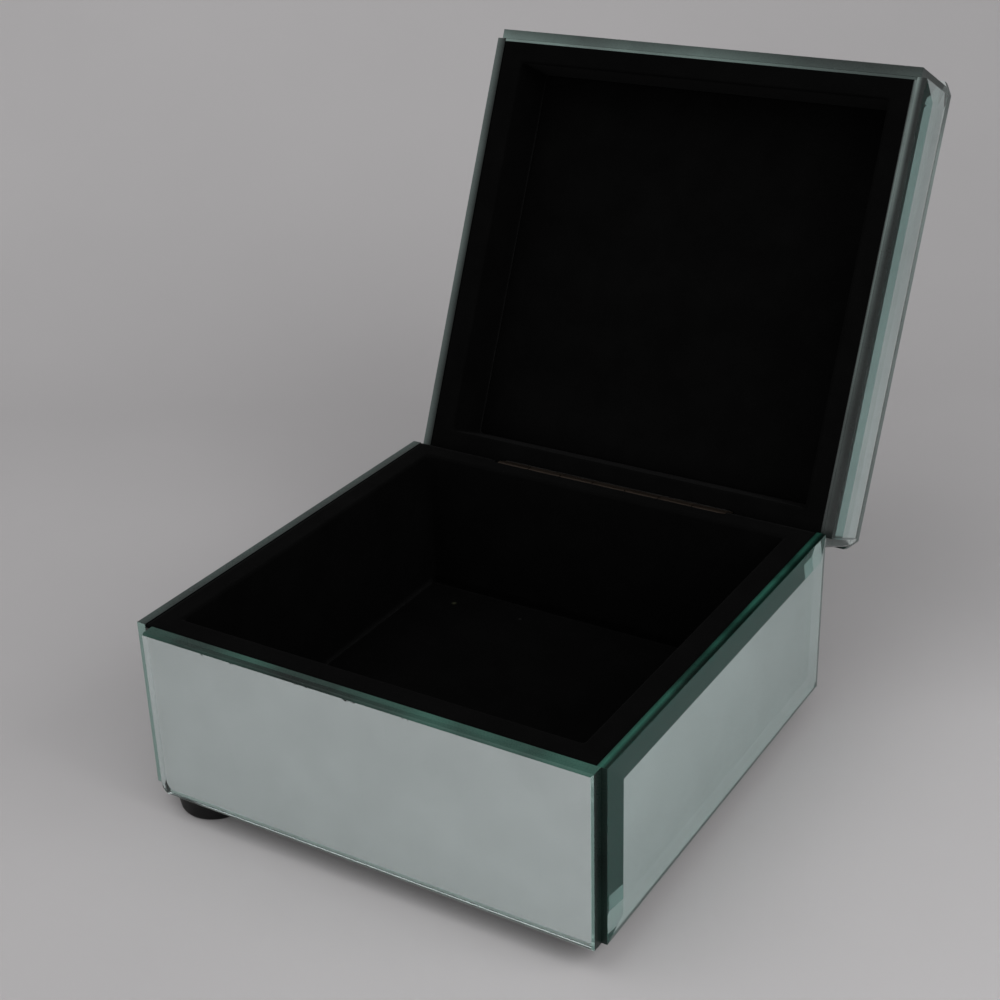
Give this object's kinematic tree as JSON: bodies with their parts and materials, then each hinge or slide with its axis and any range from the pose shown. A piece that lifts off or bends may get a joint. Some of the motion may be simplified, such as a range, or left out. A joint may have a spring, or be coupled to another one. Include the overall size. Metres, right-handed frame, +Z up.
{
  "type": "mirrored glass keepsake box",
  "caption": "Square keepsake box of bevelled mirror glass on a velvet-lined board carcass, with a shallow hinged lid standing open and rubber feet",
  "frame": {"origin": "on the floor under the middle of the base", "axes": "+X to the right along the hinge, +Y from the front of the base to the hinge at the back, +Z up from the floor"},
  "size_m": [0.1424, 0.2199, 0.177],
  "materials": {
    "board": "fibreboard stained matt black",
    "mirror_glass": "silvered float glass with polished bevels and a faint green cast",
    "velvet": "short-pile black velvet on card",
    "foot_rubber": "moulded black rubber, satin",
    "hinge_brass": "aged dull brass",
    "screw_brass": "bright brass"
  },
  "bodies": {
    "base": {"base_bottom_board": "board", "base_front_wall": "board", "base_back_wall": "board", "base_left_wall": "board", "base_right_wall": "board", "base_mirror_front": "mirror_glass", "base_mirror_back": "mirror_glass", "base_mirror_left": "mirror_glass", "base_mirror_right": "mirror_glass", "base_wall_lining": "velvet", "base_floor_lining": "velvet", "foot_front_left": "foot_rubber", "foot_front_right": "foot_rubber", "foot_back_left": "foot_rubber", "foot_back_right": "foot_rubber", "hinge_lower_leaf": "hinge_brass", "hinge_pin": "hinge_brass", "hinge_lower_screws": "screw_brass"},
    "lid": {"lid_top_board": "board", "lid_front_wall": "board", "lid_back_wall": "board", "lid_left_wall": "board", "lid_right_wall": "board", "lid_mirror_top": "mirror_glass", "lid_mirror_front": "mirror_glass", "lid_mirror_back": "mirror_glass", "lid_mirror_left": "mirror_glass", "lid_mirror_right": "mirror_glass", "lid_wall_lining": "velvet", "lid_panel_lining": "velvet", "hinge_upper_leaf": "hinge_brass", "hinge_upper_screws": "screw_brass"}
  },
  "joints": [
    {"name": "lid_hinge", "type": "hinge", "parent": "base", "child": "lid", "pos_m": [0, 0.0671, 0.0543], "axis": [1, 0, 0], "range_deg": [0, 114]}
  ]
}
